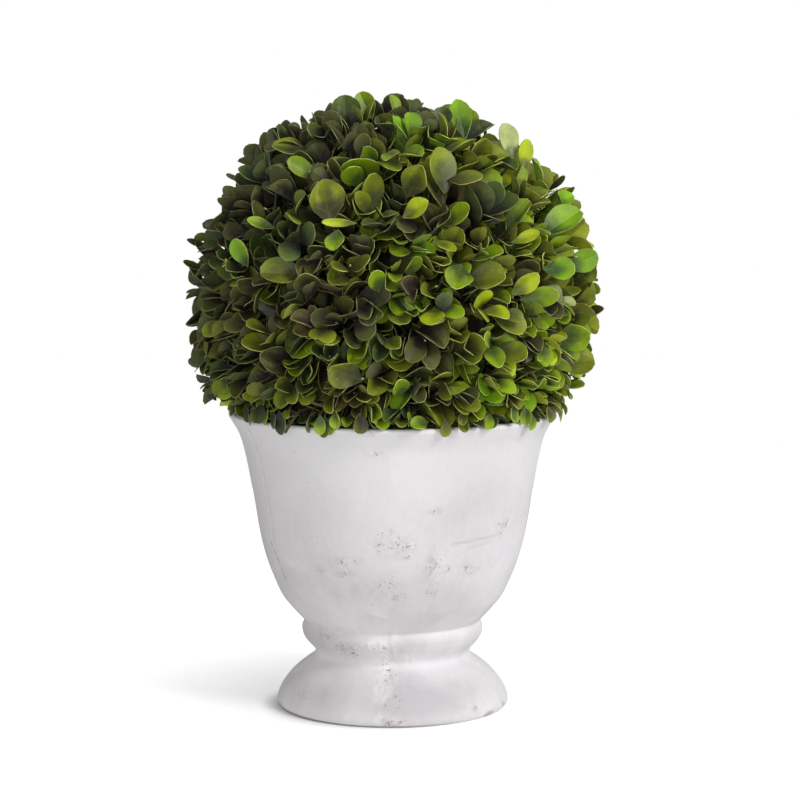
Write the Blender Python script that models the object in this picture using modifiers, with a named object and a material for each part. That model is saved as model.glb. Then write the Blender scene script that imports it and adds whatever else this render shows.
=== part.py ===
# Potted boxwood: a clipped ball of boxwood sprigs on a short stem, in a footed urn of cast cement.
# Units are metres and +Z is up. The origin is the centre of the urn's flat underside.

import math
import random

import bmesh
import bpy
from mathutils import Matrix, Vector
from mathutils.bvhtree import BVHTree

# The gap between pieces that touch
GAP = 0.0003

# The urn: a bell foot, a narrow neck, a round bead and a bowl that flares to its rim
URN_HEIGHT = 0.1490
RIM_RADIUS = 0.0820
LIP_THICKNESS = 0.0070
LIP_ROUNDING = 0.0014
WALL = 0.0085
FLOOR_HEIGHT = 0.0500
FLOOR_RADIUS = 0.0330
BEAD_HEIGHT = 0.0392
BEAD_RADIUS = 0.0454
BEAD_ACROSS = 0.0032
BEAD_HALF_HEIGHT = 0.0040
URN_SEGMENTS = 48

# Radius and height of the few points that the bowl's outer line passes, from the bead up to the rim
BOWL_SHAPE = (
    (0.0440, 0.0432),
    (0.0560, 0.0570),
    (0.0636, 0.0755),
    (0.0676, 0.0930),
    (0.0728, 0.1215),
    (0.0762, 0.1365),
    (RIM_RADIUS, URN_HEIGHT - LIP_ROUNDING),
)

# The same for the foot, from under the bead down to the floor
FOOT_SHAPE = (
    (0.0446, 0.0344),
    (0.0418, 0.0308),
    (0.0392, 0.0266),
    (0.0442, 0.0218),
    (0.0503, 0.0170),
    (0.0569, 0.0080),
    (0.0583, 0.0036),
    (0.0575, 0.0000),
)

# The filling and the stem that stands in it
FILLING_HEIGHT = 0.1080
STEM_TOP = 0.1285
STEM_RADIUS = 0.0065
STEM_TOP_RADIUS = 0.0055
STEM_LEAN = 0.0012

# Each ring of the stem: share of its height, share of its lean, and radius
STEM_SHAPE = (
    (0.00, 0.0, 0.0105),
    (0.12, 0.0, 0.0084),
    (0.35, 0.3, STEM_RADIUS),
    (0.70, 0.9, 0.0058),
    (0.88, 1.0, STEM_TOP_RADIUS),
    (1.00, 1.0, STEM_TOP_RADIUS),
)

# The crown: a ball with a dense core that the sprigs stand out of
CROWN_CENTRE = Vector((0.0, 0.0, 0.2040))
CROWN_RADIUS = 0.1035
CORE_RADIUS = 0.0770
CORE_BOTTOM = 0.1310
SPRIG_COUNT = 86
LOWEST_SPRIG = math.radians(133.0)
SPRIG_ROOT = 0.0600
SPRIG_TIP = 0.0880
TWIG_RADIUS = 0.0013
TWIG_TIP_RADIUS = 0.0007
TWIG_SIDES = 3

# A leaf is a thin cupped blade with a blunt tip, and stands for a few real ones
LEAF_LENGTH = 0.0250
LEAF_WIDTH = 0.0158
LEAF_THICKNESS = 0.0008
LEAF_CUP = 0.0022
LEAF_CURL = 0.0030
LEAF_OUTLINE_POINTS = 5
LEAF_TAPER = 0.75
LEAF_ROOT = 0.0002

# Each row of a sprig: place along the twig, spread from the twig's line, and share of the leaf's length
LEAF_PAIRS = (
    (0.74, math.radians(70.0), 0.96),
    (0.87, math.radians(49.0), 0.92),
    (0.96, math.radians(26.0), 0.70),
)

# How far the seeded rule moves things off their even places
SPRIG_SHIFT = math.radians(6.0)
PAIR_TWIST = math.radians(14.0)
LEAF_TILT = (math.radians(-12.5), math.radians(9.0))
LEAF_SIZE = (0.86, 1.06)
LEAF_TRIES = 8
GOLDEN_ANGLE = math.pi * (3.0 - math.sqrt(5.0))
SEED = 11


def clear_scene():
    """Removes what the startup file holds."""
    for obj in list(bpy.data.objects):
        bpy.data.objects.remove(obj, do_unlink=True)


def new_collection(name):
    """A collection under the scene's own one."""
    collection = bpy.data.collections.new(name)
    bpy.context.scene.collection.children.link(collection)
    return collection


def new_material(name, colour, roughness):
    """A plain Principled material; colour is linear red, green and blue."""
    material = bpy.data.materials.new(name)
    material.use_nodes = True
    shader = material.node_tree.nodes["Principled BSDF"]
    shader.inputs["Base Color"].default_value = (*colour, 1.0)
    shader.inputs["Roughness"].default_value = roughness
    shader.inputs["Metallic"].default_value = 0.0
    return material


def add_object(name, mesh, collection, material=None):
    """An object for the mesh, in the collection."""
    obj = bpy.data.objects.new(name, mesh)
    collection.objects.link(obj)
    if material:
        mesh.materials.append(material)
    return obj


def curve_through(points, steps):
    """Points on a smooth line through the given (radius, height) points, with steps to each stretch."""
    ends = [points[0], *points, points[-1]]
    line = []
    for before, start, end, after in zip(ends, ends[1:], ends[2:], ends[3:]):
        leave = (Vector(end) - Vector(before)) / 2
        arrive = (Vector(after) - Vector(start)) / 2
        for step in range(steps):
            t = step / steps
            near_start = Vector(start) * (2 * t**3 - 3 * t**2 + 1) + leave * (t**3 - 2 * t**2 + t)
            near_end = Vector(end) * (3 * t**2 - 2 * t**3) + arrive * (t**3 - t**2)
            line.append(tuple(near_start + near_end))
    return [*line, tuple(points[-1])]


def arc(centre, radius_across, radius_up, start, end, steps):
    """Points on an elliptic arc of (radius, height), from the start angle to the end angle in degrees."""
    angles = [math.radians(start + (end - start) * step / steps) for step in range(steps + 1)]
    return [(centre[0] + radius_across * math.cos(a), centre[1] + radius_up * math.sin(a)) for a in angles]


def inner_line():
    """The urn's inner line, from the middle of its floor up to the lip, a wall's thickness inside the bowl."""
    wall = [
        (radius - WALL, height)
        for radius, height in curve_through(BOWL_SHAPE, 2)
        if height > FLOOR_HEIGHT and radius - WALL > FLOOR_RADIUS and radius < RIM_RADIUS - LIP_ROUNDING
    ]
    return [(0.0, FLOOR_HEIGHT), (FLOOR_RADIUS, FLOOR_HEIGHT), *wall, (RIM_RADIUS - LIP_THICKNESS, URN_HEIGHT)]


def turned(name, line, collection, material):
    """A solid turned about Z from a line of (radius, height) that starts and ends on the axis."""
    mesh = bpy.data.meshes.new(name)
    points = [(radius, 0.0, height) for radius, height in line]
    mesh.from_pydata(points, [(i, i + 1) for i in range(len(points) - 1)], [])
    obj = add_object(name, mesh, collection, material)
    screw = obj.modifiers.new("Turned", "SCREW")
    screw.axis = "Z"
    screw.steps = URN_SEGMENTS
    screw.render_steps = URN_SEGMENTS
    screw.use_merge_vertices = True
    screw.merge_threshold = 0.00001
    screw.use_smooth_shade = True
    return obj


def make_urn(collection, material):
    """The urn: bowl, bead, neck and bell foot as one casting with a flat underside."""
    lip = arc((RIM_RADIUS - LIP_ROUNDING, URN_HEIGHT - LIP_ROUNDING), LIP_ROUNDING, LIP_ROUNDING, 90.0, 0.0, 3)
    bowl = curve_through(BOWL_SHAPE, 2)
    bead = arc((BEAD_RADIUS - BEAD_ACROSS, BEAD_HEIGHT), BEAD_ACROSS, BEAD_HALF_HEIGHT, 60.0, -70.0, 4)
    foot = curve_through(FOOT_SHAPE, 2)
    line = [*inner_line(), *lip[:-1], *reversed(bowl), *bead, *foot, (0.0, 0.0)]
    return turned("urn", line, collection, material)


def make_filling(collection, material):
    """What fills the urn, a gap clear of its wall and floor, up to where the stem stands."""
    wall = inner_line()[1:]
    side = []
    for (radius, height), (next_radius, next_height) in zip(wall, wall[1:]):
        side.append((radius - GAP, height))
        if next_height >= FILLING_HEIGHT:
            share = (FILLING_HEIGHT - height) / (next_height - height)
            side.append((radius + (next_radius - radius) * share - GAP, FILLING_HEIGHT))
            break
    low = FLOOR_HEIGHT + GAP
    side[0] = (FLOOR_RADIUS - GAP, low)
    return turned("pot_filling", [(0.0, FILLING_HEIGHT), *reversed(side), (0.0, low)], collection, material)


def make_stem(collection, material):
    """The short stem: a leaning limb that tapers up from its root flare, with flat ends."""
    foot = FILLING_HEIGHT + GAP
    height = STEM_TOP - foot
    curve = bpy.data.curves.new("stem", "CURVE")
    curve.dimensions = "3D"
    curve.bevel_depth = STEM_RADIUS
    curve.bevel_resolution = 3
    curve.use_fill_caps = True
    spline = curve.splines.new("POLY")
    spline.points.add(len(STEM_SHAPE) - 1)
    for point, (along, lean, radius) in zip(spline.points, STEM_SHAPE):
        point.co = (STEM_LEAN * lean, 0.0, foot + height * along, 1.0)
        point.radius = radius / STEM_RADIUS
    return add_object("stem", curve, collection, material)


def sprig_directions(rng):
    """Directions spread evenly over the ball by the golden angle, each a little off its place."""
    lowest = math.cos(LOWEST_SPRIG)
    directions = []
    for i in range(SPRIG_COUNT):
        up = 1.0 - (1.0 - lowest) * (i + 0.5) / SPRIG_COUNT
        around = i * GOLDEN_ANGLE + rng.uniform(-SPRIG_SHIFT, SPRIG_SHIFT)
        flat = math.sqrt(1.0 - up * up)
        directions.append(Vector((flat * math.cos(around), flat * math.sin(around), up)))
    return directions


def leaf_mesh():
    """A leaf along +X from its base: a flattened ball of few faces, blunt at the tip and cupped."""
    mesh = bpy.data.meshes.new("leaf")
    shape = bmesh.new()
    quarter_turn = Matrix.Rotation(math.pi / 2, 4, "Z")
    bmesh.ops.create_uvsphere(
        shape,
        u_segments=LEAF_OUTLINE_POINTS,
        v_segments=2,
        radius=1.0,
        matrix=quarter_turn,
    )
    base = min(vertex.co.x for vertex in shape.verts)
    tip = max(vertex.co.x for vertex in shape.verts)
    for vertex in shape.verts:
        along = ((vertex.co.x - base) / (tip - base)) ** LEAF_TAPER
        on_edge = abs(vertex.co.z) < 0.5
        drop = LEAF_CURL * along**2
        if not on_edge:
            drop += LEAF_CUP + (0.0 if vertex.co.z > 0 else LEAF_THICKNESS)
        vertex.co = Vector((along * LEAF_LENGTH, vertex.co.y * LEAF_WIDTH / 2, -drop))
    shape.to_mesh(mesh)
    shape.free()
    return mesh


def twig_mesh():
    """A three-sided twig along +Z, from its root to its tip."""
    mesh = bpy.data.meshes.new("twig")
    shape = bmesh.new()
    bmesh.ops.create_cone(
        shape,
        cap_ends=True,
        segments=TWIG_SIDES,
        radius1=TWIG_RADIUS,
        radius2=TWIG_TIP_RADIUS,
        depth=SPRIG_TIP - SPRIG_ROOT,
        matrix=Matrix.Translation((0.0, 0.0, (SPRIG_TIP - SPRIG_ROOT) / 2)),
    )
    shape.to_mesh(mesh)
    shape.free()
    return mesh


def leaf_place(sprig, direction, row, side, rng):
    """Where a leaf sits on its sprig: pairs cross from row to row and open away from the twig's tip."""
    along, spread, share = LEAF_PAIRS[row]
    node = CROWN_CENTRE + direction * (SPRIG_ROOT + (SPRIG_TIP - SPRIG_ROOT) * along)
    around = row * math.pi / 2 + side * math.pi + rng.uniform(-PAIR_TWIST, PAIR_TWIST)
    tilt = spread + rng.uniform(*LEAF_TILT)
    size = share * rng.uniform(*LEAF_SIZE)
    # The blade points out and away from the twig, with its upper side to the twig's tip.
    turned_out = sprig @ Matrix.Rotation(around, 3, "Z") @ Matrix.Rotation(tilt - math.pi / 2, 3, "Y")
    root = Matrix.Translation((LEAF_ROOT, 0.0, 0.0))
    return Matrix.Translation(node) @ turned_out.to_4x4() @ Matrix.Scale(size, 4) @ root


def stays_in_space(points, pot_trees):
    """True if the points stay in the crown's ball and a gap clear of the urn and its filling."""
    for point in points:
        if (point - CROWN_CENTRE).length > CROWN_RADIUS:
            return False
        if any(tree.find_nearest(point, 2 * GAP)[0] for tree in pot_trees):
            return False
    return True


def placed_tree(mesh, place):
    """The mesh's faces where it is placed, for a test of what crosses it."""
    corners = [place @ vertex.co for vertex in mesh.vertices]
    return BVHTree.FromPolygons(corners, [tuple(face.vertices) for face in mesh.polygons])


def cuts_a_leaf(tree, node, placed):
    """True if the leaf cuts through one that is already there, near enough to reach it."""
    near = [other for other, other_node in placed if (node - other_node).length < 2 * LEAF_LENGTH]
    return any(tree.overlap(other) for other in near)


def edge_samples(mesh, place):
    """Points along every edge of the mesh where it is placed."""
    corners = [place @ vertex.co for vertex in mesh.vertices]
    samples = []
    for edge in mesh.edges:
        a, b = (corners[i] for i in edge.vertices)
        samples += [a.lerp(b, step / 4) for step in range(5)]
    return samples


def make_core(collection, material):
    """The dense middle of the crown, a ball that is a little flatter below."""
    mesh = bpy.data.meshes.new("foliage_ball")
    shape = bmesh.new()
    bmesh.ops.create_icosphere(shape, subdivisions=3, radius=CORE_RADIUS)
    below = CROWN_CENTRE.z - CORE_BOTTOM
    for vertex in shape.verts:
        if vertex.co.z < 0:
            vertex.co.z *= below / CORE_RADIUS
    bmesh.ops.translate(shape, vec=CROWN_CENTRE, verts=shape.verts)
    shape.to_mesh(mesh)
    shape.free()
    return add_object("foliage_ball", mesh, collection, material)


def make_crown_stem(collection):
    """The stem inside the crown: its lower end stands a gap above the short stem."""
    length = CROWN_CENTRE.z - STEM_TOP - GAP
    mesh = bpy.data.meshes.new("crown_stem")
    shape = bmesh.new()
    bmesh.ops.create_cone(
        shape,
        cap_ends=True,
        segments=12,
        radius1=STEM_TOP_RADIUS,
        radius2=STEM_TOP_RADIUS * 0.5,
        depth=length,
        matrix=Matrix.Translation((STEM_LEAN, 0.0, STEM_TOP + GAP + length / 2)),
    )
    shape.to_mesh(mesh)
    shape.free()
    return add_object("crown_stem", mesh, collection)


def make_sprigs(pieces, pot_trees, rng):
    """A twig for each direction that has room for one: returns each sprig's turn and direction."""
    twig = twig_mesh()
    sprigs = []
    for direction in sprig_directions(rng):
        upright = direction.to_track_quat("Z", "Y").to_matrix()
        place = Matrix.Translation(CROWN_CENTRE + direction * SPRIG_ROOT) @ upright.to_4x4()
        if stays_in_space(edge_samples(twig, place), pot_trees):
            add_object("twig", twig, pieces).matrix_world = place
            sprigs.append((upright @ Matrix.Rotation(rng.uniform(0.0, math.pi), 3, "Z"), direction))
    return sprigs


def make_leaves(pieces, sprigs, pot_trees, rng):
    """Crossed pairs of leaves up each sprig. A leaf that has no room after a few tries is skipped."""
    leaf = leaf_mesh()
    placed = []
    for row in range(len(LEAF_PAIRS)):
        for sprig, direction in sprigs:
            for side in (0, 1):
                for _ in range(LEAF_TRIES):
                    place = leaf_place(sprig, direction, row, side, rng)
                    tree = placed_tree(leaf, place)
                    if not stays_in_space(edge_samples(leaf, place), pot_trees):
                        continue
                    if any(tree.overlap(other) for other in pot_trees):
                        continue
                    if not cuts_a_leaf(tree, place.translation, placed):
                        placed.append((tree, place.translation))
                        add_object("leaf", leaf, pieces).matrix_world = place
                        break
    return len(placed)


def make_foliage(collection, material, pot):
    """The ball of foliage: a core on the crown's stem, and twigs with crossed pairs of leaves, fused."""
    rng = random.Random(SEED)
    pieces = new_collection("foliage_pieces")
    ball = make_core(collection, material)
    make_crown_stem(pieces)
    bpy.context.view_layer.update()
    graph = bpy.context.evaluated_depsgraph_get()
    pot_trees = [BVHTree.FromObject(obj, graph) for obj in pot]
    sprigs = make_sprigs(pieces, pot_trees, rng)
    leaf_count = make_leaves(pieces, sprigs, pot_trees, rng)
    fuse(ball, pieces)
    print(f"foliage_ball: {len(sprigs)} sprigs, {leaf_count} leaves")
    return ball


def keep_largest_body(mesh):
    """Drops the loose scraps that fusing leaves, and fills the hollows that it seals."""
    shape = bmesh.new()
    shape.from_mesh(mesh)
    left = set(shape.faces)
    bodies = []
    while left:
        body, rim_of_body = [], [left.pop()]
        while rim_of_body:
            face = rim_of_body.pop()
            body.append(face)
            for edge in face.edges:
                for other in edge.link_faces:
                    if other in left:
                        left.remove(other)
                        rim_of_body.append(other)
        bodies.append(body)
    bodies.sort(key=len)
    for body in bodies[:-1]:
        bmesh.ops.delete(shape, geom=body, context="FACES")
    shape.to_mesh(mesh)
    shape.free()


def fuse(obj, pieces):
    """Joins every object of the collection to obj in one Boolean union, and removes them."""
    union = obj.modifiers.new("Fused", "BOOLEAN")
    union.operation = "UNION"
    union.operand_type = "COLLECTION"
    union.collection = pieces
    union.solver = "MANIFOLD"
    bpy.context.view_layer.update()
    graph = bpy.context.evaluated_depsgraph_get()
    fused = bpy.data.meshes.new_from_object(obj.evaluated_get(graph))
    obj.modifiers.clear()
    obj.data = fused
    keep_largest_body(fused)
    for piece in list(pieces.objects):
        bpy.data.objects.remove(piece, do_unlink=True)
    bpy.data.collections.remove(pieces)


def main():
    clear_scene()
    plant = new_collection("potted_boxwood")
    urn = make_urn(plant, new_material("whitewashed_cement", (0.76, 0.74, 0.74), 0.75))
    filling = make_filling(plant, new_material("dry_peat", (0.045, 0.030, 0.020), 0.95))
    make_stem(plant, new_material("boxwood_bark", (0.22, 0.17, 0.11), 0.85))
    make_foliage(plant, new_material("boxwood_leaf", (0.075, 0.135, 0.022), 0.45), (urn, filling))


main()
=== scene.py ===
import random
from functools import partial
from itertools import product
from math import cos, exp, pi, radians, sin, sqrt, tau

import bmesh
import bpy
import numpy as np
from mathutils import Matrix, Vector, noise
from mathutils.bvhtree import BVHTree


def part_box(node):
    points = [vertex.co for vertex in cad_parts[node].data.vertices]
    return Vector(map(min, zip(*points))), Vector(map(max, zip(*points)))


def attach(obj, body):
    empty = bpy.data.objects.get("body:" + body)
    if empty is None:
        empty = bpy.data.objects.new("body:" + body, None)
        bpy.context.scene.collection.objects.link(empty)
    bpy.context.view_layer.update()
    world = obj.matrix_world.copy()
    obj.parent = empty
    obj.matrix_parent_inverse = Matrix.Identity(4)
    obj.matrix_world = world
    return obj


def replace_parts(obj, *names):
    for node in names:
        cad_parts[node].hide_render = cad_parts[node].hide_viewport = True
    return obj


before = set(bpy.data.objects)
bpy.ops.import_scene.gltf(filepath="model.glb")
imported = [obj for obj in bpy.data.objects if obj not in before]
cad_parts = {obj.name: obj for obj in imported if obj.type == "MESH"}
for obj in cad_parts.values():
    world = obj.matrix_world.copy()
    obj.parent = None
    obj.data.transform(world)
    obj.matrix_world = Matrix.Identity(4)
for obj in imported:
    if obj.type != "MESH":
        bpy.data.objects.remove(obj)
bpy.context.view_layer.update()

print("frame loaded:", ", ".join(sorted(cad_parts)))

# heights and radii that every piece is worked out from, read off the solids
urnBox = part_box("urn")
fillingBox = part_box("pot_filling")
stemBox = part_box("stem")
rimRadius, rimHeight = urnBox[1].x, urnBox[1].z
fillingTop = fillingBox[1].z
stemTop = stemBox[1].z
mm = 0.001
touchGap = 0.3 * mm
scene = bpy.context.scene


def linear(hexColour):
    # an sRGB hex colour as the linear one that a shader takes
    parts = [int(hexColour[i:i + 2], 16) / 255 for i in (0, 2, 4)]
    return tuple(c / 12.92 if c <= 0.04045 else ((c + 0.055) / 1.055) ** 2.4 for c in parts) + (1.0,)


def feed(node, inputs):
    # an input is a value, the output socket that feeds it, or a node whose first output does
    for socket, value in inputs.items():
        if isinstance(value, bpy.types.Node):
            value = next(output for output in value.outputs if output.enabled)
        if isinstance(value, bpy.types.NodeSocket):
            node.id_data.links.new(value, node.inputs[socket])
        else:
            node.inputs[socket].default_value = value


def addNode(tree, kind, inputs=(), operation=None, **settings):
    # one node with its settings; the inputs go by name, or as a row in the node's own order
    node = tree.nodes.new("ShaderNode" + kind)
    if operation:
        node.operation = operation
    for name, value in settings.items():
        setattr(node, name, value)
    feed(node, inputs if isinstance(inputs, dict) else dict(enumerate(inputs)))
    return node


def newMaterial(name, roughness, ior=1.5):
    # a Principled material, its shader with the fixed numbers set, its addNode, and the object's coordinates
    material = bpy.data.materials.new(name)
    material.use_nodes = True
    shader = material.node_tree.nodes["Principled BSDF"]
    feed(shader, {"Roughness": roughness, "IOR": ior})
    add = partial(addNode, material.node_tree)
    return material, shader, add, add("TexCoord").outputs["Object"]


def mottledMaterial(name, roughness, grain, detail, deep, pale, upright=1):
    # two colours mixed by a noise of that grain in metres, drawn out upright if that is under 1
    material, shader, add, place = newMaterial(name, roughness)
    if upright < 1:
        place = add("Mapping", {"Vector": place, "Scale": (1, 1, upright)}).outputs[0]
    mottle = add("TexNoise", {"Vector": place, "Scale": 1 / grain, "Detail": detail})
    colour = add("Mix", {"Factor": mottle, "A": linear(deep), "B": linear(pale)}, data_type="RGBA")
    feed(shader, {"Base Color": colour})
    return material, shader, add, place, mottle


def addObject(name, data, place=(0, 0, 0), aim=None):
    # the data as an object in the scene, turned to look at a point if one is given
    thing = bpy.data.objects.new(name, data)
    scene.collection.objects.link(thing)
    thing.location = place
    if aim:
        thing.rotation_euler = (Vector(aim) - thing.location).to_track_quat("-Z", "Y").to_euler()
    return thing


def addMesh(name, mesh, materials, smoothAngle=None):
    # the mesh as an object at the origin, with smooth faces that stay sharp past an angle
    for material in materials:
        mesh.materials.append(material)
    mesh.shade_smooth()
    if smoothAngle:
        mesh.set_sharp_from_angle(angle=radians(smoothAngle))
    return addObject(name, mesh)


def addPiece(name, shape, materials, smoothAngle=None):
    # the same from a bmesh, which it frees
    mesh = bpy.data.meshes.new(name)
    shape.to_mesh(mesh)
    shape.free()
    return addMesh(name, mesh, materials, smoothAngle)


def smoothLine(points, steps):
    # a smooth line through the points, with steps to each stretch
    ends = [Vector(p) for p in (points[0], *points, points[-1])]
    line = []
    for before, start, end, after in zip(ends, ends[1:], ends[2:], ends[3:]):
        leave, arrive = (end - before) / 2, (after - start) / 2
        for step in range(steps):
            t = step / steps
            nearStart = start * (2 * t**3 - 3 * t**2 + 1) + leave * (t**3 - 2 * t**2 + t)
            nearEnd = end * (3 * t**2 - 2 * t**3) + arrive * (t**3 - t**2)
            line.append(nearStart + nearEnd)
    return [*line, ends[-1]]


def evenly(points, spacing):
    # the same line with its points an even distance apart
    line = np.array([tuple(p) for p in points])
    lengths = np.r_[0, np.cumsum(np.linalg.norm(np.diff(line, axis=0), axis=1))]
    places = np.linspace(0, lengths[-1], max(2, round(lengths[-1] / spacing) + 1))
    return [tuple(np.interp(place, lengths, axis) for axis in line.T) for place in places]


# Camera and studio

view = {
    "pictureSize": 800,  # pixels a side
    "focalPixels": 2600,  # fitted to the ellipses of the rim and the foot
    "sensor": 36.0,
    "sideShift": 3.75 * mm,  # puts the urn's axis 7.5 pixels left of the middle
    "distance": 1.295,
    "height": 0.2997,
    "aimHeight": 0.154,
}


def makeCamera():
    data = bpy.data.cameras.new("camera")
    data.sensor_width = view["sensor"]
    data.lens = view["focalPixels"] / view["pictureSize"] * view["sensor"]
    side = view["sideShift"]
    place, aim = (side, -view["distance"], view["height"]), (side, 0, view["aimHeight"])
    scene.camera = addObject("camera", data, place, aim)


studio = {
    "floorRadius": 0.75,
    "floorSides": 96,
    "floorColour": "f0f0f0",
    "floorGlow": (0.34, 0.82),  # the camera alone sees the sweep overexposed, less so near the urn
    "glowReach": (0.052, 0.19),
    "shadePlace": (-0.008, -0.003, 0),
    "shadeReach": (0.048, 0.061),
    "skyLight": (0.485, 0.26),  # from the sides, and from the upper left where the studio is darkest
    "skyDark": (-0.4, 0.0, 0.92),
    "skyEdge": 0.35,  # how far towards the dark the light stays that of the sides
    "lamps": (
        # name, place, size, power, aim height
        ("keyLamp", (1.06, -0.94, 1.02), 0.6, 13.4, 0.16),
        ("frontLamp", (-0.38, -1.98, 0.46), 0.9, 8.6, 0.14),
    ),
}


def makeStudio():
    shape = bmesh.new()
    bmesh.ops.create_circle(shape, cap_ends=True, segments=studio["floorSides"],
        radius=studio["floorRadius"])
    # matt white sweep of painted board: no gloss to speak of, so shadows stay soft
    material, shader, add, place = newMaterial("paintedSweep", roughness=0.9)
    away = add("VectorMath", (place,), "LENGTH")
    fading = add("MapRange", (away, *studio["glowReach"], *studio["floorGlow"]))
    # no glow right at the foot's left, where the shade under its edge is deep
    fromShade = add("VectorMath", (place, studio["shadePlace"]), "DISTANCE")
    shaded = add("MapRange", (fromShade, *studio["shadeReach"]), interpolation_type="SMOOTHSTEP")
    fading = add("Math", (fading, shaded), "MULTIPLY")
    seen = add("LightPath").outputs["Is Camera Ray"]
    glow = add("Math", (seen, fading), "MULTIPLY")
    feed(shader, {"Base Color": linear(studio["floorColour"]), "Emission Color": (1, 1, 1, 1),
        "Emission Strength": glow})
    addPiece("floor", shape, [material])
    for name, place, size, power, aimHeight in studio["lamps"]:
        data = bpy.data.lights.new(name, "AREA")
        data.shape = "DISK"
        data.size = size
        data.energy = power
        addObject(name, data, place, (0, 0, aimHeight))
    # the backdrop shows pure white, and lights the plant less than it shows
    world = bpy.data.worlds.new("whiteStudio")
    world.use_nodes = True
    add = partial(addNode, world.node_tree)
    way = add("TexCoord").outputs["Generated"]
    darkward = add("VectorMath", (way, studio["skyDark"]), "DOT_PRODUCT")
    sky = add("MapRange", (darkward, studio["skyEdge"], 1.0, *studio["skyLight"]))
    seen = add("LightPath").outputs["Is Camera Ray"]
    strength = add("Math", (sky, seen), "MAXIMUM")
    feed(world.node_tree.nodes["Background"], {"Color": (1, 1, 1, 1), "Strength": strength})
    scene.world = world
    scene.view_settings.view_transform = "Standard"


makeCamera()
makeStudio()
print("camera and studio ready")


# The urn

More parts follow.
